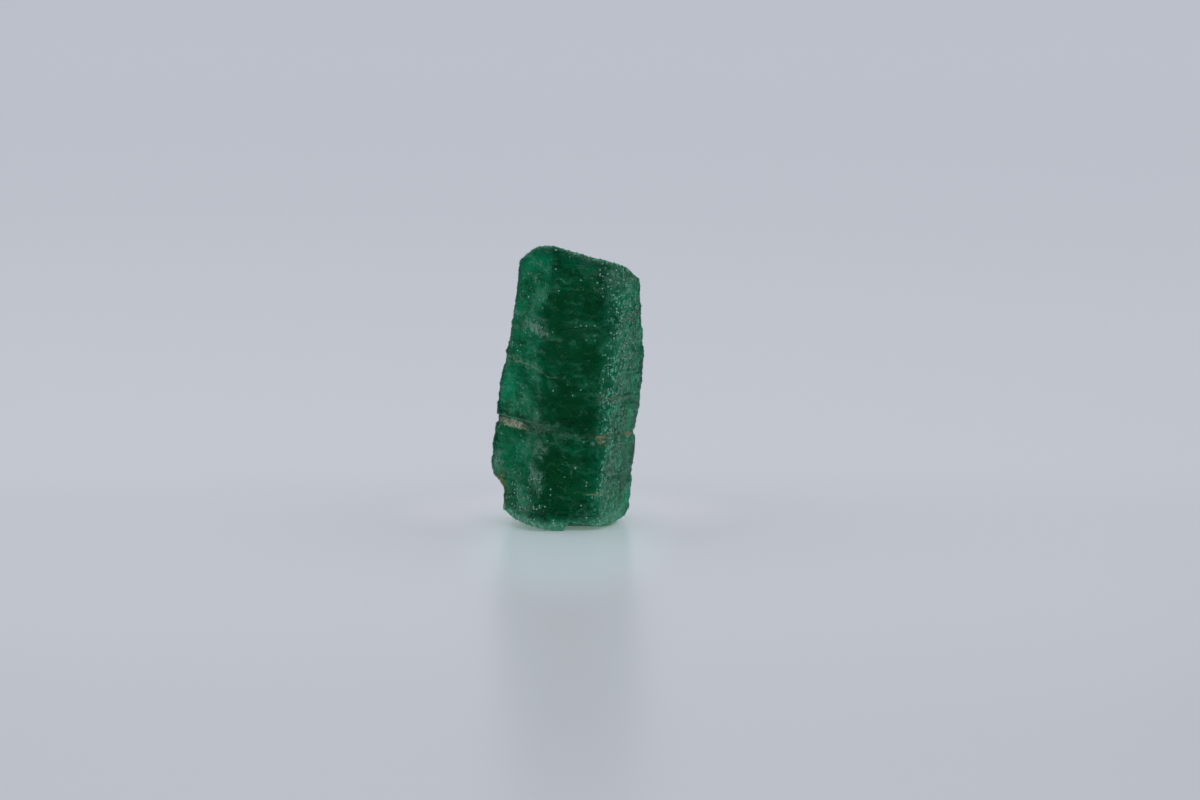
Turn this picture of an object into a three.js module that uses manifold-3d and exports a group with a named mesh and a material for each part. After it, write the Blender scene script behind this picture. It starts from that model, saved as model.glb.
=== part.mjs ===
// A raw emerald crystal: one six-sided beryl prism, broken at both ends, standing on its lower break.
// Millimetres, +Z up. The origin is on the standing level, under the middle of the crystal's box.
// The crystal's front faces -Y, so left and right are those seen when looking along +Y.
import * as THREE from "three";
import { mergeVertices } from "three/addons/utils/BufferGeometryUtils.js";
import Module from "manifold-3d";

const wasm = await Module();
wasm.setup();
const { degToRad } = THREE.MathUtils;

// Directions of the six faces
const FACE_COUNT = 6;
const FRONT_TURN = degToRad(5.5); // the front face looks this far towards +X
const CORNER_ANGLE = degToRad(60); // neighbouring faces of beryl turn by this

// The long edges seen from the front as [height, x], from the bottom up. They lean towards +X.
const LEFT_EDGE = [
  [-2, -3.9], [0, -4.02], [1.5, -4.12], [2.65, -4.2], [3.27, -4.36], [4.35, -4.28],
  [5.48, -4.1], [6.04, -4.06], [6.41, -4.06], [7.57, -3.88], [8.7, -3.7], [9.52, -3.47],
  [9.75, -3.58], [10.46, -3.28], [11.25, -3.18], [12.78, -2.96], [14.25, -2.8], [15.07, -2.7],
  [18, -2.3],
];
const LEFT_FRONT_EDGE = [
  [-2, -2.2], [0.54, -2.02], [3.08, -1.8], [5.35, -1.5], [8.74, -1.22], [11, -1.0], [14.7, -0.78],
  [18, -0.55],
];
const RIGHT_FRONT_EDGE = [
  [-2, 1.5], [0.5, 1.72], [2.5, 1.9], [5.35, 2.28], [9.4, 2.74], [12.1, 3.08], [13.5, 3.08],
  [18, 3.1],
];
const RIGHT_EDGE = [
  [-2, 3.3], [0.72, 3.57], [1.46, 3.62], [2.03, 3.7], [3.04, 3.79], [3.5, 3.88], [4.46, 3.96],
  [5.08, 3.94], [5.48, 3.94], [6.75, 4.18], [7.57, 4.23], [8.25, 4.34], [8.48, 4.3], [8.93, 4.38],
  [9.78, 4.43], [10.12, 4.31], [10.8, 4.37], [11.25, 4.26], [12.18, 4.28], [12.89, 4.14],
  [13.46, 4.17], [13.97, 4.14], [18, 3.9],
];
// The general course of the left and right edges, without their small bumps
const LEFT_COURSE = [[-2, -3.95], [3, -4.25], [8, -3.8], [14, -2.83], [18, -2.3]];
const RIGHT_COURSE = [[-2, 3.2], [4, 3.85], [9.5, 4.35], [14, 4.12], [18, 3.9]];
// The front and back faces seen from the side as [height, y] where they cross x = 0
const FRONT_FACE = [[-2, -3.2], [3, -3.3], [8, -3.32], [12, -3.25], [18, -3.12]];
const BACK_FACE = [[-2, 3.1], [2.5, 3.3], [6, 3.36], [10, 3.2], [14, 2.85], [18, 2.6]];
const EDGE_WEAR = 0.07; // how far the six long edges are worn back

// Growth ledges: the prism is a stack of thin plates that stand out by different amounts
const LEDGE_SLOPE = -0.1; // a ledge falls by this much for each millimetre towards +X
const LEDGE_LEVELS = [
  0.6, 1.1, 1.8, 2.35, 2.85, 3.4, 3.9, 4.5, 4.95, 6.05, 6.6, 7.2, 7.75, 8.3, 8.75, 9.15, 9.42, 9.9,
  10.2, 10.6, 10.95, 11.25, 11.7, 12.1, 12.5, 13, 13.5, 13.95, 14.4, 14.9, 15.4,
];
const LEDGE_RISE = 0.06; // height over which one plate steps to the next
const PLATE_RELIEF = 0.035; // the most that a plate stands out or lies back
const BLANK_LOW = -1.2; // the blank is longer than the crystal, and the breaks trim it
const BLANK_HIGH = 17.6;

// The healed crack that runs round the crystal below its middle
const CRACK_LEVEL = 5.55;
const CRACK_HEIGHT = 0.3;
const CRACK_DEPTHS = [0.02, 0.12, 0.1, 0.06, 0.1, 0.04]; // per face: front, then round by the left

// Where the columns of vertices stand along each face, from corner to corner
const COLUMN_SHARES = [0, 0.04, 0.2, 0.36, 0.52, 0.68, 0.84, 0.96];
const FACE_WAVE = 0.03; // gentle unevenness of the faces

// Breaks, as planes through a point with an outward normal: everything beyond a plane is gone
const BREAKS = [
  { name: "foot", through: [0, 0, 0], normal: [0, 0, -1] },
  { name: "foot left", through: [-0.85, -3.3, 0], normal: [-0.2, 0, -1] },
  { name: "foot left corner", through: [-2.95, -0.9, 0.43], normal: [-0.72, 0, -1] },
  { name: "foot right", through: [2.36, -1.8, 0.07], normal: [0.2, 0, -1] },
  { name: "foot right corner", through: [3.21, 0, 0.25], normal: [1.6, 0, -1] },
  { name: "foot back right", through: [1.6, 2.6, 0.4], normal: [0.35, 0.7, -1] },
  { name: "foot back left", through: [-2.4, 2.3, 0.3], normal: [-0.5, 0.55, -1] },
  { name: "head", through: [-1.0, -3.2, 16.04], normal: [0, 0.13, 1] },
  { name: "head right", through: [-0.08, -3.2, 15.87], normal: [0.29, 0.15, 1] },
  { name: "head left shoulder", through: [-1.5, -3.2, 16.1], normal: [-0.53, 0.12, 1] },
  { name: "head left corner", through: [-2.15, -2.0, 15.66], normal: [-0.6, 0.24, 1] },
  { name: "head right corner", through: [3.25, -2.4, 14.82], normal: [0.78, 0.13, 1] },
  { name: "head back", through: [0, 1.9, 15.1], normal: [0.2, 0.62, 1] },
  { name: "head front rim left", through: [-1.5, -3.3, 15.8], normal: [-0.2, -1.3, 1] },
  { name: "head front rim right", through: [1.2, -3.2, 15.36], normal: [0.35, -1.5, 1] },
];

// Corners that broke away, each as an outline [across, height] that runs on through a stretch of crystal
const LOST_LOWER_LEFT = {
  outline: [[-3.45, 2.12], [-3.68, 2.35], [-4.1, 2.7], [-6, 3.4], [-6, -1], [-3.58, -1]],
  from: -5, // where the stretch begins and ends along the crystal's depth
  to: 4,
};
const LOST_FRONT_FOOT = {
  outline: [
    [0.05, -1], [0.09, 0.02], [0.43, 0.38], [0.85, 0.33], [1.3, 0.27], [2.1, 0.16], [6, 0.6], [6, -1],
  ],
  from: -5,
  to: -1.3,
};
const LOST_TURN = degToRad(-5);

// Shell-shaped chips, as ellipsoids: where, half-sizes and turn about each axis in degrees
const CHIPS = [
  { at: [0.35, -4.02, 14.35], half: [2.1, 0.9, 0.85], turn: [0, 8, 5] },
  { at: [-1.25, -3.62, 10.9], half: [0.5, 0.45, 0.38], turn: [0, 20, -25] },
  { at: [-2.05, -3.64, 2.75], half: [0.45, 0.4, 1.2], turn: [0, 3, -30] },
  { at: [2.45, -3.75, 14.8], half: [1.2, 0.85, 0.8], turn: [0, 18, 25] },
  { at: [2.7, -3.28, 6.9], half: [0.36, 0.42, 0.62], turn: [0, 0, 35] },
  { at: [4.55, 0.35, 12.6], half: [0.34, 0.8, 0.36], turn: [0, 10, 0] },
  { at: [4.65, 0.5, 8.5], half: [0.36, 0.9, 0.3], turn: [0, -6, 0] },
  { at: [-0.3, 3.9, 9.6], half: [1.7, 0.8, 2.3], turn: [0, 15, 5] },
  { at: [-3.3, 2.2, 6.9], half: [1.1, 0.6, 0.7], turn: [0, 8, 60] },
  { at: [2.3, 3.3, 3.2], half: [0.9, 0.7, 0.9], turn: [0, 0, -30] },
  { at: [1.3, -0.4, 16.3], half: [2.3, 1.7, 1.7], turn: [-4, 16, 30] },
  { at: [-0.9, 1.2, 16.45], half: [1.3, 1.7, 1.6], turn: [10, 0, -20] },
  { at: [2.1, -0.3, -0.35], half: [0.9, 1.0, 0.62], turn: [0, 0, 20] },
  { at: [-1.1, 2.7, -0.4], half: [1.2, 0.8, 0.75], turn: [0, 0, 10] },
  { at: [-1.4, -3.6, -0.12], half: [0.55, 0.5, 0.3], turn: [0, 0, -10] },
];
const CHIP_DETAIL = 4;

// The value of a line of [height, value] points at a height
function valueAt(line, height) {
  const above = line.findIndex(([z]) => z >= height);
  const [z0, v0] = line[above - 1];
  const [z1, v1] = line[above];
  return THREE.MathUtils.mapLinear(height, z0, z1, v0, v1);
}

// x of a long edge where a sloping level meets it
function edgeX(edge, level) {
  return valueAt(edge, level + LEDGE_SLOPE * valueAt(edge, level));
}

// The six corners of the prism on a level: left-front first, then round by the left
function sectionCorners(level) {
  const flat = Math.tan(FRONT_TURN);
  const shallow = Math.tan(CORNER_ANGLE - FRONT_TURN);
  const steep = Math.tan(CORNER_ANGLE + FRONT_TURN);
  const [left, leftFront] = [edgeX(LEFT_COURSE, level), edgeX(LEFT_FRONT_EDGE, level)];
  const [right, rightFront] = [edgeX(RIGHT_COURSE, level), edgeX(RIGHT_FRONT_EDGE, level)];
  const back = valueAt(BACK_FACE, level);
  const leftFrontY = valueAt(FRONT_FACE, level) + leftFront * flat;
  const rightFrontY = valueAt(FRONT_FACE, level) + rightFront * flat;
  const leftY = leftFrontY + (leftFront - left) * shallow;
  const rightY = rightFrontY + (right - rightFront) * steep;
  const backLeft = left + (back + left * flat - leftY) / (steep - flat);
  const backRight = right - (back + right * flat - rightY) / (shallow + flat);
  return [
    new THREE.Vector2(leftFront, leftFrontY),
    new THREE.Vector2(edgeX(LEFT_EDGE, level), leftY),
    new THREE.Vector2(backLeft, back + backLeft * flat),
    new THREE.Vector2(backRight, back + backRight * flat),
    new THREE.Vector2(edgeX(RIGHT_EDGE, level), rightY),
    new THREE.Vector2(rightFront, rightFrontY),
  ];
}

// How far a plate of the stack stands out on a face: a repeatable number, mostly small
function plateRelief(face, plate) {
  const wave = Math.sin(face * 12.99 + plate * 78.23) * 437.5;
  return PLATE_RELIEF * (2 * (wave - Math.floor(wave)) - 1) ** 3;
}

// The rows of the blank from the bottom up: one below and one above each ledge, and four for the crack
function blankRows() {
  const rows = [{ level: BLANK_LOW, plate: 0, sunk: false }];
  let plate = 0;
  const step = (level, sunkBelow, sunkAbove) => {
    rows.push({ level: level - LEDGE_RISE / 2, plate, sunk: sunkBelow });
    plate += 1;
    rows.push({ level: level + LEDGE_RISE / 2, plate, sunk: sunkAbove });
  };
  const crackLow = CRACK_LEVEL - CRACK_HEIGHT / 2;
  const crackHigh = CRACK_LEVEL + CRACK_HEIGHT / 2;
  LEDGE_LEVELS.filter((z) => z < crackLow).forEach((z) => step(z, false, false));
  step(crackLow, false, true);
  step(crackHigh, true, false);
  LEDGE_LEVELS.filter((z) => z > crackHigh).forEach((z) => step(z, false, false));
  rows.push({ level: BLANK_HIGH, plate, sunk: false });
  return rows;
}

// One point of the blank's skin: a column is a face and a share of the way along it
function skinPoint(corners, column, { level, plate, sunk }) {
  const start = Math.floor(column / COLUMN_SHARES.length) % FACE_COUNT;
  const share = COLUMN_SHARES[column % COLUMN_SHARES.length];
  const face = (start + 1) % FACE_COUNT; // a face has the number of the corner where it ends
  const depth = (index) => (sunk ? CRACK_DEPTHS[index] : 0) - plateRelief(index, plate);
  const line = corners[face].clone().sub(corners[start]);
  const outward = new THREE.Vector2(-line.y, line.x).normalize();
  const point = corners[start].clone().addScaledVector(line, share);
  if (share === 0) {
    const inward = corners[start].clone().normalize().negate();
    point.addScaledVector(inward, EDGE_WEAR + (depth(face) + depth(start)) / 2);
  } else {
    const bulge = Math.sin(Math.PI * share) * Math.sin(5 * share + 1.3 * level + 2 * face);
    point.addScaledVector(outward, FACE_WAVE * bulge - depth(face));
  }
  return new THREE.Vector3(point.x, point.y, level + LEDGE_SLOPE * point.x);
}

// The stacked prism before anything breaks off it
function makeBlank() {
  const rows = blankRows();
  const profile = [new THREE.Vector2(0, BLANK_LOW)];
  rows.forEach(({ level }) => profile.push(new THREE.Vector2(1, level)));
  profile.push(new THREE.Vector2(0, BLANK_HIGH));
  const geometry = new THREE.LatheGeometry(profile, FACE_COUNT * COLUMN_SHARES.length);
  const sections = rows.map(({ level }) => sectionCorners(level));
  const position = geometry.getAttribute("position");
  for (let i = 0; i < position.count; i += 1) {
    const column = Math.floor(i / profile.length);
    const row = (i % profile.length) - 1;
    const onSkin = row >= 0 && row < rows.length;
    const point = onSkin
      ? skinPoint(sections[row], column, rows[row])
      : new THREE.Vector3(0, 0, profile[i % profile.length].y);
    position.setXYZ(i, point.x, point.y, point.z);
  }
  return geometry;
}

// A large block whose underside is the plane of a break
function makeBreak({ through, normal }) {
  const size = 40;
  const upright = new THREE.Vector3(0, 0, 1);
  const outward = new THREE.Vector3(...normal).normalize();
  const turn = new THREE.Quaternion().setFromUnitVectors(upright, outward);
  return new THREE.BoxGeometry(size, size, size)
    .translate(0, 0, size / 2)
    .applyQuaternion(turn)
    .translate(...through);
}

function makeLostCorner({ outline, from, to }) {
  const shape = new THREE.Shape(outline.map(([x, z]) => new THREE.Vector2(x, z)));
  return new THREE.ExtrudeGeometry(shape, { depth: to - from, bevelEnabled: false })
    .rotateX(Math.PI / 2)
    .translate(0, to, 0)
    .rotateZ(LOST_TURN);
}

function makeChip({ at, half, turn }) {
  return new THREE.IcosahedronGeometry(1, CHIP_DETAIL)
    .scale(...half)
    .rotateX(degToRad(turn[0]))
    .rotateY(degToRad(turn[1]))
    .rotateZ(degToRad(turn[2]))
    .translate(...at);
}

// A closed geometry as a manifold-3d solid, whichever way round its faces are
function toSolid(geometry) {
  const bare = geometry.clone().deleteAttribute("normal").deleteAttribute("uv");
  const merged = mergeVertices(bare, 1e-4);
  const triVerts = new Uint32Array(merged.index.array);
  const vertProperties = merged.getAttribute("position").array;
  const made = new wasm.Manifold(new wasm.Mesh({ numProp: 3, vertProperties, triVerts }));
  if (made.volume() > 0) return made;
  return new wasm.Manifold(
    new wasm.Mesh({ numProp: 3, vertProperties, triVerts: triVerts.slice().reverse() }),
  );
}

function toGeometry(solid) {
  const { vertProperties, triVerts } = solid.getMesh();
  const geometry = new THREE.BufferGeometry();
  geometry.setAttribute("position", new THREE.BufferAttribute(vertProperties, 3));
  geometry.setIndex(new THREE.BufferAttribute(triVerts, 1));
  return geometry;
}

// Sets the geometry's box on the origin: centred in x and y, and standing on z = 0
function standOnOrigin(geometry) {
  geometry.computeBoundingBox();
  const { min, max } = geometry.boundingBox;
  return geometry.translate(-(min.x + max.x) / 2, -(min.y + max.y) / 2, -min.z);
}

const cutters = [
  ...BREAKS.map(makeBreak),
  makeLostCorner(LOST_LOWER_LEFT),
  makeLostCorner(LOST_FRONT_FOOT),
  ...CHIPS.map(makeChip),
];
const crystal = cutters.reduce((left, cutter) => left.subtract(toSolid(cutter)), toSolid(makeBlank()));

const emerald = new THREE.MeshStandardMaterial({ color: 0x0f5c3c, roughness: 0.35, metalness: 0 });
const body = new THREE.Mesh(standOnOrigin(toGeometry(crystal)).toNonIndexed(), emerald);
body.geometry.computeVertexNormals();
body.name = "emerald_crystal";

const group = new THREE.Group();
group.add(body);
export default group;
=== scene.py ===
"""The raw emerald crystal as it looks: the fine skin of the stone, its clouded see-through green,
and the pale table and soft light that it stands in. Blender works in metres here, but the stone is
carved at a thousand times its size, so lengths on the stone are in millimetres."""

import math

import bpy
import numpy as np
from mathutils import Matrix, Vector


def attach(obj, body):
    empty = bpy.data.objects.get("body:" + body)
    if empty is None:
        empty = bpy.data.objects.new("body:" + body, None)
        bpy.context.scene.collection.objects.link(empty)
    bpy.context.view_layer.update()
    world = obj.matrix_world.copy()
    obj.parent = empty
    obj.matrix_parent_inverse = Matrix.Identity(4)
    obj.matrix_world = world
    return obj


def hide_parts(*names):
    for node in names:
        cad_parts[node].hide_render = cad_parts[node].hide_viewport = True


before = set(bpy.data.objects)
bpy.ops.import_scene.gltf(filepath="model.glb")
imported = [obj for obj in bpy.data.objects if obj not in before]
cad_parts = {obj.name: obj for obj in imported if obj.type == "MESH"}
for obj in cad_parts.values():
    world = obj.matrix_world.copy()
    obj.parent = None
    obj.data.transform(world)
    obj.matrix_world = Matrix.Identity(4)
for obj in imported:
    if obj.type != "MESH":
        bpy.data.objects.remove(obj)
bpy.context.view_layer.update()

MM = 0.001

# The stone
GRAIN = 0.0755  # width of one face of the fine skin
LEDGE_FALL = 0.1  # the stone's layers fall by this much for each millimetre to the right
VEIN_LEVEL = 5.47  # level of the healed crack, where x is 0
EDGE_FOOT = 1.8  # the edge between the front and the right face: its x at the foot,
EDGE_LEAN = 0.083  # and how far it moves right for each millimetre up
FRONT_LEFT = Vector((-0.88, -0.48, 0))  # outward directions of two long faces
FRONT_RIGHT = Vector((0.81, -0.58, 0))
SPLIT_LEVEL = 8.33  # level of the younger crack above, where x is 0,
SPLIT_FALL = 0.37  # and its fall for each millimetre to the right
SHORT_LEVEL = 2.2  # level of the short crack below, which falls as the layers do

# The stone's matter
BERYL_IOR = 1.58
DEPTH_COLOUR = (0.03, 0.55, 0.31, 1)  # what is left of white light,
DEPTH_DENSITY = 1000.0  # with this absorption for each metre of depth
CLEAR_DEEP = (0.35, 0.62, 0.5, 1)  # the clear surface is tinted like this in patches,
CLEAR_PALE = (1, 1, 1, 1)  # and untinted between them
GLASS_GLEAM = (0.03, 0.36, 0.2, 1)  # tints of the gleam on the clear surface and on the skin
SKIN_GLEAM = (0.2, 0.6, 0.45, 1)

# An oval place is full within the inner share of its half-sizes and gone past the outer one.
# It goes right through the stone.
OVAL_OUTER = 1.25
OVAL_INNER = 0.3
OVAL_DEEP = 1000

# Scuffed places of the front: centre [across, up], half-sizes, turn in degrees, strength
SCUFFS = (
    ((-1.7, 11.25), (0.9, 0.34), -18, 1.0),
    ((-0.7, 10.75), (0.6, 0.2), -12, 0.55),
    ((-1.6, 6.3), (0.35, 0.2), 0, 0.55),
    ((2.4, 7.3), (1.0, 0.24), 3, 0.7),
    ((-1.35, 5.85), (0.95, 0.42), -8, 0.8),
    ((-1.55, 4.6), (0.5, 0.7), 0, 0.8),
    ((-1.75, 2.9), (0.4, 1.0), 6, 1.0),
    ((-1.95, 1.2), (1.0, 0.7), 0, 0.35),
    ((-1.75, 0.3), (1.9, 0.3), 0, 0.5),
    ((2.9, 14.1), (1.1, 0.85), -12, 0.6),
    ((3.3, 11.1), (0.9, 2.0), 0, 0.3),
    ((1.0, 15.3), (1.7, 0.28), -17, 0.6),
    ((1.75, 13.35), (0.95, 0.25), -18, 0.45),
    ((0.9, 11.2), (1.5, 0.7), -15, 0.25),
    ((-3.95, 3.6), (0.35, 0.7), 0, 0.6),
)

# Thin light scratches, given in the same way
SCRATCHES = (
    ((2.2, 7.1), (1.0, 0.06), 4, 0.6),
    ((-1.4, 14.7), (0.75, 0.07), -38, 0.55),
    ((0.45, 13.5), (0.55, 0.07), -6, 0.5),
    ((0.67, 1.1), (0.42, 0.06), 48, 0.7),
    ((0.35, 3.6), (0.35, 0.08), 10, 0.5),
    ((0.2, 3.2), (0.08, 0.3), 0, 0.5),
    ((0.9, 8.1), (0.9, 0.05), -14, 0.35),
    ((-0.3, 10.3), (0.8, 0.06), -18, 0.4),
    ((-0.83, 12.9), (0.04, 0.8), 0, 0.25),
    ((0.1, 13.9), (0.75, 0.07), -4, 0.35),
    ((-0.35, 8.6), (0.32, 0.07), -8, 0.6),
    ((0.02, 8.25), (0.07, 0.3), 0, 0.6),
)

# Places of the front where light coming up from inside is painted into the skin as a lighter green, a
# painted glow, given in the same way
PAINTED_GLOWS = (
    ((-1.75, 15.2), (1.3, 0.75), 0, 0.9),
    ((2.7, 13.5), (0.7, 1.6), -8, 0.6),
    ((1.0, 14.85), (2.9, 0.5), -17, 0.55),
    ((-3.3, 7.9), (0.6, 1.1), -30, 1.0),
    ((-2.9, 12.5), (0.4, 1.6), -8, 0.4),
    ((-3.1, 3.6), (0.7, 1.3), 0, 0.5),
    ((3.6, 6.2), (0.4, 0.9), 0, 1.0),
    ((3.45, 2.8), (0.35, 1.7), 0, 0.8),
    ((3.9, 9.3), (0.3, 1.6), 0, 0.6),
    ((-0.6, 0.35), (3.4, 0.5), 0, 0.9),
)

# Single places of the front: centre [across, up], half-sizes, turn in degrees
GRITTY_FOOT = ((-2.4, 1.6), (1.2, 1.8), 0)
GRITTY_TOP = ((2.7, 14.0), (1.3, 0.9), -15)
COMBED = ((2.75, 3.4), (0.9, 3.0), 4)
SMOOTH_DOME = ((-1.9, 14.9), (1.7, 1.3), 0)
PALE_DOT = ((1.42, 4.9), (0.15, 0.15), 0)
VEIN_LEFT = ((-3.2, 5.75), (1.25, 0.6), 0)
VEIN_RIGHT = ((3.6, 5.1), (0.5, 0.5), 0)
VEIN_MIDDLE = ((1.9, 5.15), (0.45, 0.3), 0)
VEIN_WEDGE = ((1.95, 5.12), (0.36, 0.2), -8)
SHORT_CRACK = ((1.5, 2.05), (0.75, 0.4), 0)
SPLIT_LEFT = ((-1.9, 9.1), (2.2, 1.4), 0)
SPLIT_RIGHT = ((2.3, 7.5), (1.0, 0.8), 0)
IRON_CORNER = ((-3.75, 2.3), (0.35, 0.9), 0)
IRON_EDGE = ((-3.6, 1.0), (0.15, 0.6), 0)

# The table, painted darker in front and lighter going back as painted shade: its tone in front, then
# where each next tone begins and is reached, going back
TABLE_SHADED_FRONT = (0.775, 0.777, 0.78, 1)
TABLE_SHADE_TONES = (
    ((-70, -20), (0.815, 0.817, 0.82, 1)),
    ((2, 26), (0.85, 0.852, 0.855, 1)),
    ((40, 500), (0.93, 0.932, 0.935, 1)),
)
# Both ovals are painted light: the pale one lightens the table round the stone, the green one is the
# stone's green light thrown before its foot
# Two ovals on it round the stone, one pale and one green: y of the middle, half-width,
# half-depth, at how many times this size the tone is gone, tone
TABLE_PAINTED_LIGHT_OVALS = (
    (4, 7.75, 7.75, 1.5, (0.95, 0.92, 0.92, 1)),
    (-6, 4.12, 15.8, 1.7, (0.86, 0.965, 0.94, 1)),
)

# Soft box, dark cards and air, with lengths in millimetres
LAMP_AT = (-60, -20, 260)
LAMP_SIZE = 220
LAMP_POWER = 0.12
STONE_MIDDLE = (0, 0, 8)
CARD_OUT = 50
CARD_SIZE = 160
CARD_PALE_HEIGHT = 4
CARD_PALE = 0.8
CARD_SHADE_LEFT = 0.002
CARD_SHADE_RIGHT = 0.03
AIR_COLOUR = (0.55, 0.58, 0.65, 1)
AIR_STRENGTH = 0.95

# The camera looks from the front and slightly down, as the photograph's does, from well back
CAMERA_RISE = math.radians(7)
CAMERA_DISTANCE = 290 * MM
CAMERA_LENS = 154.9
AIM = Vector((1.826, 0, 6.96)) * MM


def seen(red, green, blue):
    """A colour given as it is seen on a screen, 0 to 255, in the linear light that Blender uses."""
    light = [
        c / 255 / 12.92 if c <= 10 else ((c / 255 + 0.055) / 1.055) ** 2.4
        for c in (red, green, blue)
    ]
    return (*light, 1)


# Colours of the stone's skin
GREEN_DEEP = seen(0, 84, 50)
GREEN_PALE = seen(6, 128, 84)
GREEN_MIST = seen(16, 140, 96)
# Painted glow: the lighter green painted where light comes up from inside
GREEN_PAINTED_GLOW = seen(0, 156, 106)
IRON_STAIN = seen(104, 112, 52)
FROSTED = seen(0, 152, 98)
COMB_SHADE = seen(0, 112, 72)
# Painted glow on the frosted right face
FROSTED_PAINTED_GLOW = seen(0, 186, 122)
FROSTED_STREAK = seen(30, 184, 128)
# Pale frost of the breaks, also the painted glow of the foot band where the stone meets the table
BREAK_FROST_AND_FOOT_GLOW = seen(112, 194, 158)
HAZE = seen(84, 164, 130)
GRIT = seen(104, 202, 162)
SCRATCH_WHITE = seen(160, 196, 174)
# White of the specks, which are white grit and also painted glints
SPECK_AND_GLINT_WHITE = seen(176, 208, 192)
TAN_DARK = seen(84, 116, 86)
TAN_PALE = seen(208, 208, 180)
TAN_RIGHT = seen(158, 150, 106)
SPLIT_GREY = seen(150, 168, 140)


# Modelling


def take_up(piece):
    """Selects one piece alone."""
    bpy.ops.object.select_all(action="DESELECT")
    piece.select_set(True)
    bpy.context.view_layer.objects.active = piece


def resize(piece, factor):
    """Makes the piece's mesh larger or smaller about the origin."""
    take_up(piece)
    bpy.ops.object.mode_set(mode="EDIT")
    bpy.ops.mesh.select_all(action="SELECT")
    bpy.ops.transform.resize(value=(factor, factor, factor), center_override=(0, 0, 0))
    bpy.ops.object.mode_set(mode="OBJECT")


def work(piece, kind, **settings):
    """Adds a modifier with its settings and applies it."""
    take_up(piece)
    modifier = piece.modifiers.new(kind.lower(), kind)
    for name, value in settings.items():
        setattr(modifier, name, value)
    bpy.ops.object.modifier_apply(modifier=modifier.name)


def places(piece):
    """The piece's vertices and their normals as two arrays."""
    count = len(piece.data.vertices)
    place, normal = np.empty(count * 3), np.empty(count * 3)
    piece.data.vertices.foreach_get("co", place)
    piece.data.vertices.foreach_get("normal", normal)
    return place.reshape(-1, 3), normal.reshape(-1, 3)


def step(value, low, high):
    """0 below low, 1 above high, and a smooth rise between."""
    t = np.clip((value - low) / (high - low), 0, 1)
    return t * t * (3 - 2 * t)


def choose(piece, name, weight):
    """A vertex group with a weight for each vertex."""
    group = piece.vertex_groups.new(name=name)
    for index in np.flatnonzero(weight > 0.01):
        group.add([int(index)], float(weight[index]), "REPLACE")
    return name


def grain_of(name, kind, size, **settings):
    """A cloudy or cell-like height texture."""
    texture = bpy.data.textures.new(name, kind)
    texture.noise_scale = size
    for setting, value in settings.items():
        setattr(texture, setting, value)
    return texture


def carve(piece, texture, depth, area, stretch=(1, 1, 1), lean=0.0, level=0.5):
    """Moves the chosen area in and out by a texture, which an empty stretches and leans."""
    guide = bpy.data.objects.new("guide", None)
    bpy.context.collection.objects.link(guide)
    guide.scale = stretch
    guide.rotation_euler = (0, lean, 0)
    bpy.context.view_layer.update()
    work(
        piece, "DISPLACE", texture=texture, texture_coords="OBJECT", texture_coords_object=guide,
        strength=depth, mid_level=level, vertex_group=area,
    )
    bpy.data.objects.remove(guide)


def keep(piece, name, value):
    """Stores a number for each vertex, for the finish to read."""
    store = piece.data.attributes.new(name, "FLOAT", "POINT")
    store.data.foreach_set("value", np.ascontiguousarray(value, np.float32))


def spread(piece, values, rounds):
    """Evens out one number or vector for each vertex with those of its neighbours, again and again."""
    ends = np.empty(len(piece.data.edges) * 2, np.int64)
    piece.data.edges.foreach_get("vertices", ends)
    a, b = ends.reshape(-1, 2).T
    count = 1 + np.bincount(ends, minlength=len(values))
    even = values.reshape(len(values), -1)
    for _ in range(rounds):
        total = even.copy()
        for k in range(even.shape[1]):
            total[:, k] += np.bincount(a, even[b, k], len(even)) + np.bincount(b, even[a, k], len(even))
        even = total / count[:, None]
    return even.reshape(values.shape)


def proud(piece, rounds):
    """How far each vertex stands out of its evened surroundings: large on a sharp edge."""
    place, normal = places(piece)
    return ((place - spread(piece, place, rounds)) * normal).sum(axis=1)


def even_skin():
    """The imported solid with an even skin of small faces, at a thousand times its size."""
    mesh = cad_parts["emerald_crystal"].data.copy()
    crystal = bpy.data.objects.new("raw_emerald", mesh)
    bpy.context.collection.objects.link(crystal)
    take_up(crystal)
    bpy.ops.object.mode_set(mode="EDIT")
    bpy.ops.mesh.select_all(action="SELECT")
    bpy.ops.mesh.remove_doubles(threshold=1e-7)
    bpy.ops.object.mode_set(mode="OBJECT")
    resize(crystal, 1 / MM)
    work(crystal, "REMESH", mode="VOXEL", voxel_size=GRAIN, use_smooth_shade=True)
    return crystal


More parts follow.
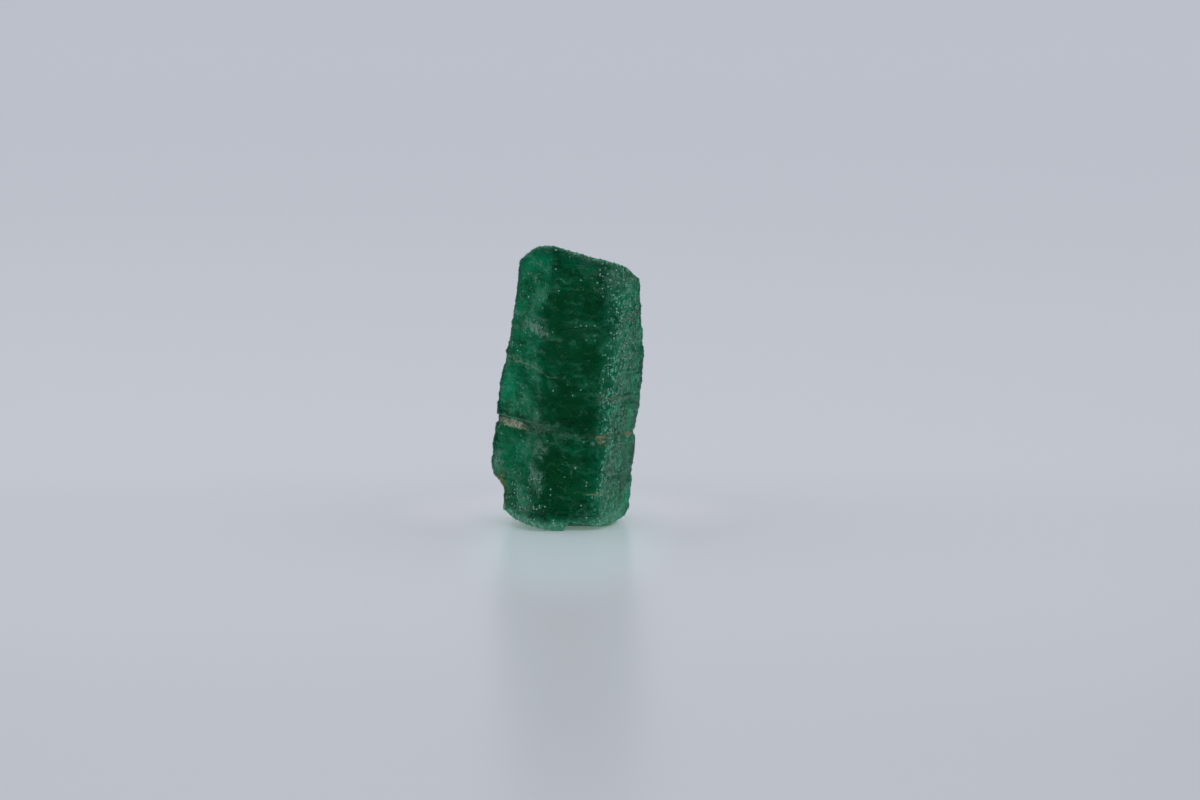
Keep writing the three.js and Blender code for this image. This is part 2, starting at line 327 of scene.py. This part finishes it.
def find_areas(crystal):
    """Stores what the finish reads, and gives the vertex groups that the carving needs."""
    place, normal = places(crystal)
    upright = 1 - step(np.abs(normal[:, 2]), 0.3, 0.6)
    broken = step(np.abs(normal[:, 2]), 0.25, 0.55)
    off_foot = step(place[:, 2], 0.05, 0.3)
    ends = np.maximum(step(place[:, 2], 12.6, 13.8), 1 - step(place[:, 2], 0.8, 1.8))
    right_face = step(normal @ np.array(FRONT_RIGHT), 0.75, 0.95) * upright
    left_face = step(normal @ np.array(FRONT_LEFT), 0.7, 1.0) * upright
    flat = np.linalg.norm(spread(crystal, normal, 8), axis=1)
    long_edges = (1 - step(flat, 0.95, 0.995)) * upright
    long_edges *= step(place[:, 2], 0.7, 1.6) * (1 - step(place[:, 2], 14.2, 15.2))
    front_edges = long_edges * step(-place[:, 1], 1.9, 2.6)
    rise = place[:, 2] + LEDGE_FALL * place[:, 0]
    vein = 1 - step(np.abs(rise - VEIN_LEVEL), 0.08, 0.22)
    pale = broken * (0.3 + 0.7 * ends)
    keep(crystal, "broken", pale)
    keep(crystal, "rim", spread(crystal, pale, 30))
    past = place[:, 0] - EDGE_FOOT - EDGE_LEAN * place[:, 2]
    keep(crystal, "frosted", spread(crystal, right_face, 25) * (0.6 + 0.4 * step(past, 0, 1.4)))
    keep(crystal, "left", spread(crystal, left_face, 90))
    return {
        "sides": choose(crystal, "sides", upright * off_foot),
        "breaks": choose(crystal, "breaks", broken * off_foot),
        "comb": choose(crystal, "comb", right_face * off_foot),
        "healed": choose(crystal, "healed", vein * upright),
        "rims": choose(crystal, "rims", off_foot),
        "long edges": choose(crystal, "long edges", long_edges),
        "front edges": choose(crystal, "front edges", front_edges),
    }


def carve_all(crystal, areas):
    """Wears the long edges down, then carves every surface as it grew or broke."""
    work(crystal, "SMOOTH", factor=0.5, iterations=4, vertex_group=areas["long edges"])
    work(crystal, "SMOOTH", factor=0.5, iterations=26, vertex_group=areas["front edges"])
    swell = grain_of("swell", "CLOUDS", 1.6, noise_depth=2)
    carve(crystal, swell, 0.1, areas["sides"], level=0.6)
    layers = grain_of("layers", "CLOUDS", 0.5, noise_depth=2)
    carve(crystal, layers, 0.09, areas["sides"], stretch=(3.2, 3.2, 0.34), lean=LEDGE_FALL, level=0.6)
    rods = grain_of("rods", "CLOUDS", 0.5, noise_depth=3)
    carve(crystal, rods, 0.06, areas["comb"], stretch=(0.3, 0.3, 3), level=0.7)
    shells = grain_of("shells", "CLOUDS", 1.1, noise_depth=3)
    carve(crystal, shells, 0.3, areas["breaks"], level=0.65)
    splinters = grain_of("splinters", "VORONOI", 0.4, weight_1=-1, weight_2=1)
    carve(crystal, splinters, 0.1, areas["breaks"], level=0.8)
    fibres = grain_of("fibres", "CLOUDS", 0.12, noise_depth=2)
    carve(crystal, fibres, 0.14, areas["healed"], level=0.75)
    wear = grain_of("wear", "CLOUDS", 0.35, noise_depth=3)
    carve(crystal, wear, 0.1, areas["rims"], level=0.62)


def make_crystal():
    """The stone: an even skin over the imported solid, carved and kept inside the solid's own box."""
    crystal = even_skin()
    place, _ = places(crystal)
    low, high = place.min(axis=0), place.max(axis=0)
    carve_all(crystal, find_areas(crystal))
    place, _ = places(crystal)
    crystal.data.vertices.foreach_set("co", np.clip(place, low, high).ravel())
    crystal.data.update()
    keep(crystal, "worn", proud(crystal, 6))
    crystal.vertex_groups.clear()
    resize(crystal, MM)
    take_up(crystal)
    bpy.ops.object.shade_smooth()
    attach(crystal, "root")
    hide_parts("emerald_crystal")
    return crystal


# Finishes


class Value:
    """One output of a finish's nodes, so that sums on it are written as Python sums."""

    def __init__(self, finish, socket):
        self.finish = finish
        self.socket = socket

    def sum(self, operation, *others):
        """A Math node on this value and at most one more."""
        inputs = dict(enumerate((self, *others)))
        return self.finish.node("ShaderNodeMath", {"operation": operation}, inputs)

    def __add__(self, other):
        return self.sum("ADD", other)

    __radd__ = __add__

    def __mul__(self, other):
        return self.sum("MULTIPLY", other)

    __rmul__ = __mul__

    def __sub__(self, other):
        return self.sum("SUBTRACT", other)

    def __rsub__(self, other):
        return self.finish.node("ShaderNodeMath", {"operation": "SUBTRACT"}, {0: other, 1: self})

    def __truediv__(self, other):
        return self.sum("DIVIDE", other)

    def __pow__(self, other):
        return self.sum("POWER", other)

    def __abs__(self):
        return self.sum("ABSOLUTE")

    def most(self, other):
        """The larger of two values."""
        return self.sum("MAXIMUM", other)

    def rise(self, low, high):
        """0 below low, 1 above high, and a smooth rise between; low may be the higher one."""
        return self.finish.node(
            "ShaderNodeMapRange",
            {"interpolation_type": "SMOOTHSTEP"},
            {"Value": self, "From Min": low, "From Max": high},
        )


class Finish:
    """A material while its nodes are laid out."""

    def __init__(self, name):
        self.material = bpy.data.materials.new(name)
        self.material.use_nodes = True
        self.tree = self.material.node_tree
        self.tree.nodes.clear()

    def node(self, kind, settings=None, inputs=None, output=0):
        """Adds a node: its settings first, then the values or links of its inputs. Gives one output."""
        node = self.tree.nodes.new(kind)
        for name, value in (settings or {}).items():
            setattr(node, name, value)
        for name, value in (inputs or {}).items():
            socket = node.inputs[name]
            if isinstance(value, Value):
                self.tree.links.new(value.socket, socket)
            else:
                socket.default_value = value
        return Value(self, node.outputs[output]) if node.outputs else None

    def place(self):
        """Where a point lies on the object, in millimetres."""
        spot = self.node("ShaderNodeTexCoord", output="Object")
        return self.node(
            "ShaderNodeVectorMath", {"operation": "SCALE"}, {0: spot, "Scale": 1 / MM}
        )

    def stored(self, name):
        """A number that the modelling stored on the surface."""
        settings = {"attribute_type": "GEOMETRY", "attribute_name": name}
        return self.node("ShaderNodeAttribute", settings, None, "Fac")

    def parts(self, vector):
        """The x, y and z of a vector."""
        inputs = {"Vector": vector}
        return [self.node("ShaderNodeSeparateXYZ", None, inputs, axis) for axis in "XYZ"]

    def noise(self, place, scale, detail=2, roughness=0.5):
        """Cloudy noise from about 0.3 to 0.7, with lumps 1 / scale wide."""
        inputs = {"Vector": place, "Scale": scale, "Detail": detail, "Roughness": roughness}
        return self.node("ShaderNodeTexNoise", None, inputs)

    def drift(self, place, scale, detail):
        """A direction that wanders, about 0.2 long, for shifting a place or a line."""
        inputs = {"Vector": place, "Scale": scale, "Detail": detail}
        cloud = self.node("ShaderNodeTexNoise", None, inputs, "Color")
        middle = (0.5, 0.5, 0.5)
        return self.node("ShaderNodeVectorMath", {"operation": "SUBTRACT"}, {0: cloud, 1: middle})

    def shaken(self, place, scale, amount):
        """The place jolted by fine noise, so that a pattern on it gets ragged edges."""
        inputs = {0: self.drift(place, scale, 1.0), 1: (amount, amount, amount), 2: place}
        return self.node("ShaderNodeVectorMath", {"operation": "MULTIPLY_ADD"}, inputs)

    def stretched(self, place, stretch, turn=(0, 0, 0)):
        """The place stretched, so that a pattern on it becomes long in some directions."""
        inputs = {"Vector": place, "Scale": stretch, "Rotation": turn}
        return self.node("ShaderNodeMapping", {"vector_type": "TEXTURE"}, inputs)

    def far(self, place, at, half, turn):
        """Distance from a point of the front, so measured that it is 1 on a turned oval."""
        inputs = {
            "Vector": place,
            "Location": (at[0], 0, at[1]),
            "Rotation": (0, -math.radians(turn), 0),
            "Scale": (half[0], OVAL_DEEP, half[1]),
        }
        oval = self.node("ShaderNodeMapping", {"vector_type": "TEXTURE"}, inputs)
        return self.node("ShaderNodeVectorMath", {"operation": "LENGTH"}, {0: oval}, "Value")

    def patch(self, place, at, half, turn):
        """1 at a point of the front, falling to 0 round a turned oval with these half-sizes."""
        return self.far(place, at, half, turn).rise(OVAL_OUTER, OVAL_INNER)

    def strongest(self, place, ovals, outer=OVAL_OUTER, inner=OVAL_INNER):
        """What the strongest of many ovals of the front gives at each point."""
        so_far = 0
        for at, half, turn, strength in ovals:
            oval = self.far(place, at, half, turn).rise(outer, inner) * strength
            so_far = oval.most(so_far)
        return so_far

    def mix(self, share, first, second):
        """One colour giving way to another."""
        inputs = {"Factor": share, "A": first, "B": second}
        return self.node("ShaderNodeMix", {"data_type": "RGBA"}, inputs, "Result")

    def bump(self, height, depth):
        """A height, 0 to 1, as relief of this depth in millimetres."""
        return self.node("ShaderNodeBump", None, {"Height": height, "Distance": depth * MM})

    def end(self, surface, volume=None):
        """Sends the finished shaders to the output and gives the material."""
        inputs = {"Surface": surface}
        if volume:
            inputs["Volume"] = volume
        self.node("ShaderNodeOutputMaterial", None, inputs)
        return self.material


def emerald_finish():
    """Clouded green beryl: clear inside and tinted by its depth, with a scuffed skin over it."""
    finish = Finish("clouded emerald")
    flat = finish.place()
    x, y, z = finish.parts(flat)
    place = finish.shaken(flat, 2.2, 0.9)
    near = finish.shaken(flat, 6.0, 0.3)
    jitter = finish.parts(finish.drift(flat, 2.2, 3.0))[2]
    wander = finish.parts(finish.drift(flat, 0.9, 2.0))[2]
    front = y.rise(0.4, -0.4)
    broken = finish.stored("broken")
    worn = finish.stored("worn").rise(0.01, 0.05)
    frosted = finish.stored("frosted")
    rim = finish.stored("rim").rise(0.02, 0.45)
    left = finish.stored("left")

    # Speckle and grain
    lumps = finish.noise(flat, 1.8, 4, 0.65)
    mist = finish.noise(flat, 0.8, 3, 0.5)
    sand = finish.noise(flat, 9.0, 4, 0.75)
    dust = finish.noise(flat, 15.0, 2, 0.6)
    cloud = finish.noise(place, 0.5, 5, 0.62)
    speckle = sand.rise(0.43, 0.58) * (0.45 + 0.55 * dust.rise(0.4, 0.55))
    tilt = (0, 2 * LEDGE_FALL, 0)
    wisps = finish.noise(finish.stretched(place, (1.5, 1.5, 0.3), tilt), 1.0, 3, 0.55)
    fine_layers = finish.noise(finish.stretched(place, (1.4, 1.4, 0.05), tilt), 1.0, 3, 0.6)
    rods = finish.noise(finish.stretched(flat, (0.09, 0.09, 0.9)), 1.0, 3, 0.6)
    slim = finish.stretched(finish.shaken(flat, 12.0, 0.12), (0.085, 0.085, 0.26))
    nicks = {"Vector": slim, "Scale": 1.0}
    nick = finish.node("ShaderNodeTexVoronoi", None, nicks, "Distance")
    chance = finish.parts(finish.node("ShaderNodeTexVoronoi", None, nicks, "Color"))[0]
    dashes = nick.rise(0.75, 0.35) * chance.rise(0.4, 0.6)
    curls = abs(finish.noise(flat, 2.4, 2, 0.5) - 0.5).rise(0.035, 0.008) * 0.6
    curls = curls * (1 - (frosted * 3).most(broken))
    cells = finish.node(
        "ShaderNodeTexVoronoi", {"feature": "F1"}, {"Vector": place, "Scale": 2.6}, "Distance"
    )
    pits = cells.rise(0.28, 0.1)

    # The frost along the edge between the front and the right face and at the foot, the two
    # gritty places, and the combed part of the right face
    past = x - EDGE_FOOT - EDGE_LEAN * z + (lumps - 0.5) * 1.2
    verge = past.rise(-0.85, 0.0) * past.rise(1.6, 0.5) * front
    # The foot's frosted band is also painted lighter: painted glow where the stone meets the table, in
    # place of its contact shade
    foot_frost_and_glow = (z - 0.06 * x * x + lumps * 0.6).rise(1.0, 0.55) * front
    gritty = finish.patch(flat, *GRITTY_FOOT) * 0.7
    gritty = verge.most(gritty.most(finish.patch(flat, *GRITTY_TOP)) * front)
    comb = finish.patch(flat, *COMBED) * front * frosted

    # Scuffs, thin scratches, fine growth lines, grit, and the white specks that gather in the scuffs,
    # partly painted glints
    marks = finish.strongest(place, SCUFFS) * front
    scratches = finish.strongest(near, SCRATCHES) * front * (0.3 + 0.7 * speckle)
    scratches = scratches * lumps.rise(0.36, 0.5)
    elsewhere = finish.noise(flat, 0.8, 3, 0.6).rise(0.52, 0.68) * (1 - front * 0.5)
    elsewhere = elsewhere * (1 - finish.patch(flat, *SMOOTH_DOME) * front)
    lines = fine_layers.rise(0.55, 0.64) * lumps.rise(0.4, 0.56)
    flecks = lumps.rise(0.54, 0.66) * mist.rise(0.38, 0.6)
    scratched = (speckle * 0.85).most(curls).most(dashes * 0.6)
    haze = marks.most(elsewhere * 0.5)
    scuff = (haze * scratched).most(scratches)
    scuff = scuff.most(lines * 0.36).most(worn * (0.2 + 0.5 * speckle))
    scuff = scuff.most(finish.patch(flat, *PALE_DOT) * 0.6)
    haze = haze * (0.15 + 0.85 * cloud.rise(0.38, 0.6)) * (0.45 + 0.55 * speckle)
    grit = verge.most(frosted * 0.65) * (0.02 + 0.98 * dashes) * lumps.rise(0.36, 0.54).most(comb * 0.8)
    # Frost: frosted rims round the breaks, and the foot band, which is frosted and also painted glow
    frost_and_foot_glow = rim * (0.5 + 0.5 * dashes) * (0.65 + 0.35 * cloud.rise(0.3, 0.5))
    frost_and_foot_glow = frost_and_foot_glow.most(foot_frost_and_glow * (0.55 + 0.45 * dashes))
    # White specks: white grit in the scuffs, and painted glints of sparkle
    spots = {"Vector": finish.shaken(flat, 30.0, 0.06), "Scale": 6.5}
    nearest = finish.node("ShaderNodeTexVoronoi", None, spots, "Distance")
    lot = finish.parts(finish.node("ShaderNodeTexVoronoi", None, spots, "Color"))[0]
    often = 0.4 * gritty + 0.2 * marks + 0.1 * elsewhere + 0.12 * rim + 0.02 * left
    specks_and_glints = nearest.rise(0.42, 0.18) * (lot + often).rise(0.98, 1.0)

    # The healed crack, the younger crack above it and a short one below
    level = abs(z + LEDGE_FALL * x - VEIN_LEVEL + wander * 0.5)
    ends = finish.patch(flat, *VEIN_LEFT).most(finish.patch(flat, *VEIN_RIGHT))
    ends = (ends * front).most(cloud.rise(0.5, 0.62) * (1 - front))
    thick = 0.06 + 0.12 * ends
    strength = (0.25 + 0.75 * ends).most(finish.patch(flat, *VEIN_MIDDLE) * front)
    vein = (level + jitter * 0.2).rise(thick + 0.07, thick - 0.03) * strength
    below = abs(z + LEDGE_FALL * x - SHORT_LEVEL + wander * 0.3).rise(0.09, 0.03)
    below = below * finish.patch(flat, *SHORT_CRACK) * front * 0.7
    wedge = finish.patch(place, *VEIN_WEDGE) * front
    vein = vein.most(below).most(wedge * 0.8)
    split = abs(z + SPLIT_FALL * x - SPLIT_LEVEL + wander * 0.8).rise(0.08, 0.02)
    there = finish.patch(flat, *SPLIT_LEFT).most(finish.patch(flat, *SPLIT_RIGHT))
    there = (there * front).most(cloud.rise(0.52, 0.6) * (1 - front))
    split = split * there * (0.35 + 0.65 * speckle)
    across = finish.stretched(flat, (0.07, 0.07, 0.6), (0, -0.5, 0))
    fibres = finish.noise(across, 1.0, 2, 0.6).rise(0.42, 0.58)

    # Colours of the skin
    green = finish.mix(wisps.rise(0.35, 0.65), GREEN_DEEP, GREEN_PALE)
    green = finish.mix(mist.rise(0.35, 0.65) * 0.5, green, GREEN_MIST)
    # Painted glow: a lighter green painted where light comes up from inside
    painted_glow = finish.strongest(place, PAINTED_GLOWS, outer=1.5, inner=0) * front
    green = finish.mix(painted_glow, green, GREEN_PAINTED_GLOW)
    iron = finish.patch(place, *IRON_CORNER)
    iron = iron.most(finish.patch(place, *IRON_EDGE)) * front
    green = finish.mix(iron, green, IRON_STAIN)
    streaks = rods.rise(0.45, 0.58) * cloud.rise(0.38, 0.56)
    skin = finish.mix(frosted, green, FROSTED)
    skin = finish.mix(comb * 0.7, skin, COMB_SHADE)
    skin = finish.mix(painted_glow * frosted, skin, FROSTED_PAINTED_GLOW)
    skin = finish.mix(frosted * streaks, skin, FROSTED_STREAK)
    # The breaks' frost, and the foot band's frost with its painted glow
    skin = finish.mix((broken * (0.4 + 0.5 * speckle)).most(frost_and_foot_glow), skin, BREAK_FROST_AND_FOOT_GLOW)
    skin = finish.mix((haze * 0.7).most(flecks * 0.5), skin, HAZE)
    skin = finish.mix(grit, skin, GRIT)
    skin = finish.mix(scuff, skin, SCRATCH_WHITE)
    tan = finish.mix(fibres, TAN_DARK, TAN_PALE)
    tan = finish.mix(x.rise(0.8, 1.6) * front * 0.7, tan, TAN_RIGHT)
    skin = finish.mix(vein, skin, tan)
    skin = finish.mix(split * 0.8, skin, SPLIT_GREY)
    skin = finish.mix(specks_and_glints, skin, SPECK_AND_GLINT_WHITE)

    # How far the clouded skin covers the clear stone
    body = 0.04 + 0.3 * wisps.rise(0.46, 0.64) * mist.rise(0.4, 0.6) + 0.05 * mist.rise(0.45, 0.6)
    body = body.most(left * (0.52 + 0.26 * mist.rise(0.35, 0.65)))
    # The painted glow places are made more clouded, so that their painted green shows
    body = body.most((painted_glow * 0.6).most(iron * 0.8))
    body = body.most(frosted * (0.12 + 0.3 * cloud.rise(0.42, 0.6) + 0.5 * streaks))
    body = body.most(broken * (0.45 + 0.3 * cloud.rise(0.42, 0.6)))
    body = body.most(frost_and_foot_glow).most(verge * (0.3 + 0.25 * cloud.rise(0.4, 0.6)))
    body = body.most(past.rise(-1.3, -0.5) * past.rise(0.5, -0.1) * front * 0.42)
    body = body.most(haze * 0.4).most(flecks * 0.22)
    solid = body.most(scuff.most(grit) * 0.9).most(vein * 0.92).most(split * 0.9).most(specks_and_glints * 0.9)

    # Roughness and relief, then the clear stone and the skin over it
    rough = 0.12 + 0.12 * cloud + 0.3 * scuff + 0.15 * broken + 0.15 * frosted
    height = lumps * 0.03 + wisps * 0.02 + rods * frosted * 0.05 - pits * 0.015 + sand * broken * 0.05
    height = height - (level / 0.15).rise(1, 0) * fibres * 0.03
    relief = finish.bump(height, 1.0)
    tint = finish.mix(cloud.rise(0.35, 0.65), CLEAR_DEEP, CLEAR_PALE)
    clear = finish.node(
        "ShaderNodeBsdfPrincipled",
        None,
        {
            "Base Color": tint,
            "Roughness": rough,
            "IOR": BERYL_IOR,
            "Transmission Weight": 1.0,
            "Specular Tint": GLASS_GLEAM,
            "Normal": relief,
        },
        "BSDF",
    )
    clouded = finish.node(
        "ShaderNodeBsdfPrincipled",
        None,
        {
            "Base Color": skin,
            "Roughness": rough + 0.1,
            "IOR": BERYL_IOR,
            "Specular IOR Level": 0.08,
            "Specular Tint": SKIN_GLEAM,
            "Normal": relief,
        },
        "BSDF",
    )
    both = finish.node("ShaderNodeMixShader", None, {0: solid, 1: clear, 2: clouded})
    inside = {"Color": DEPTH_COLOUR, "Density": DEPTH_DENSITY}
    return finish.end(both, finish.node("ShaderNodeVolumeAbsorption", None, inside))


def table_finish():
    """A pale, slightly glossy table top, painted darker in front as painted shade, with painted light
    round the stone: a pale oval, and the green light that the stone throws before its foot.
    """
    finish = Finish("pale table")
    x, y, _ = finish.parts(finish.place())
    # Painted shade: darker towards the front, lighter going back
    paint = TABLE_SHADED_FRONT
    for (start, reached), tone in TABLE_SHADE_TONES:
        paint = finish.mix(y.rise(start, reached), paint, tone)
    # Painted light round the stone, pale and green
    for middle, half_wide, half_deep, outer, tone in TABLE_PAINTED_LIGHT_OVALS:
        away = y - middle
        far = (x * x / half_wide**2 + away * away / half_deep**2) ** 0.5
        paint = finish.mix(far.rise(outer, 0.5), paint, tone)
    gloss = {"Base Color": paint, "Roughness": 0.28, "Specular IOR Level": 0.075}
    return finish.end(finish.node("ShaderNodeBsdfPrincipled", None, gloss))


# Set


def make_table():
    """The plain floor that the crystal stands on."""
    bpy.ops.object.select_all(action="DESELECT")
    bpy.ops.mesh.primitive_circle_add(vertices=96, radius=1.6, fill_type="NGON")
    table = bpy.context.object
    table.name = "table"
    table.data.materials.append(table_finish())


def make_light():
    """A square soft box that faces the middle of the stone. As in the photo, it throws no shadow."""
    lamp = bpy.data.lights.new("top soft box", "AREA")
    lamp.size = LAMP_SIZE * MM
    lamp.energy = LAMP_POWER
    lamp.use_shadow = False
    box = bpy.data.objects.new("top soft box", lamp)
    box.location = Vector(LAMP_AT) * MM
    inward = Vector(STONE_MIDDLE) * MM - box.location
    box.rotation_euler = inward.to_track_quat("-Z", "Y").to_euler()
    bpy.context.collection.objects.link(box)


def make_flag(name, across, shade):
    """A dark card that only reflections see, pale at its foot; it keeps glare off a side of the stone."""
    bpy.ops.object.select_all(action="DESELECT")
    bpy.ops.mesh.primitive_plane_add(
        size=CARD_SIZE * MM,
        location=Vector((across, 0, CARD_SIZE / 2)) * MM,
        rotation=(math.pi / 2, 0, math.pi / 2),
    )
    flag = bpy.context.object
    flag.name = name
    finish = Finish(name)
    up = finish.parts(finish.node("ShaderNodeTexCoord", output="UV"))[1] * CARD_SIZE
    pale = (CARD_PALE, CARD_PALE, CARD_PALE, 1)
    felt = finish.mix(up.rise(0, CARD_PALE_HEIGHT), pale, (shade, shade, shade, 1))
    card = {"Base Color": felt, "Roughness": 1.0, "Specular IOR Level": 0.0}
    flag.data.materials.append(finish.end(finish.node("ShaderNodeBsdfPrincipled", None, card)))
    flag.visible_camera = False
    flag.visible_diffuse = False
    flag.visible_transmission = False
    flag.visible_shadow = False


def make_air():
    """Even pale light all round."""
    world = bpy.data.worlds.new("pale room")
    world.use_nodes = True
    background = world.node_tree.nodes["Background"]
    background.inputs["Color"].default_value = AIR_COLOUR
    background.inputs["Strength"].default_value = AIR_STRENGTH
    bpy.context.scene.world = world


def make_camera():
    """The photograph's view: a long lens from the front, slightly above."""
    lens = bpy.data.cameras.new("camera")
    lens.lens = CAMERA_LENS
    lens.sensor_width = 36
    lens.clip_start, lens.clip_end = 0.01, 5
    camera = bpy.data.objects.new("camera", lens)
    back = Vector((0, -math.cos(CAMERA_RISE), math.sin(CAMERA_RISE)))
    camera.location = AIM + back * CAMERA_DISTANCE
    camera.rotation_euler = (-back).to_track_quat("-Z", "Y").to_euler()
    bpy.context.collection.objects.link(camera)
    bpy.context.scene.camera = camera


bpy.ops.object.select_all(action="DESELECT")
make_camera()
crystal = make_crystal()
crystal.data.materials.clear()
crystal.data.materials.append(emerald_finish())
make_table()
make_air()
make_flag("left_flag", -CARD_OUT, CARD_SHADE_LEFT)
make_flag("right_flag", CARD_OUT, CARD_SHADE_RIGHT)
make_light()
bpy.context.scene.view_settings.view_transform = "Standard"
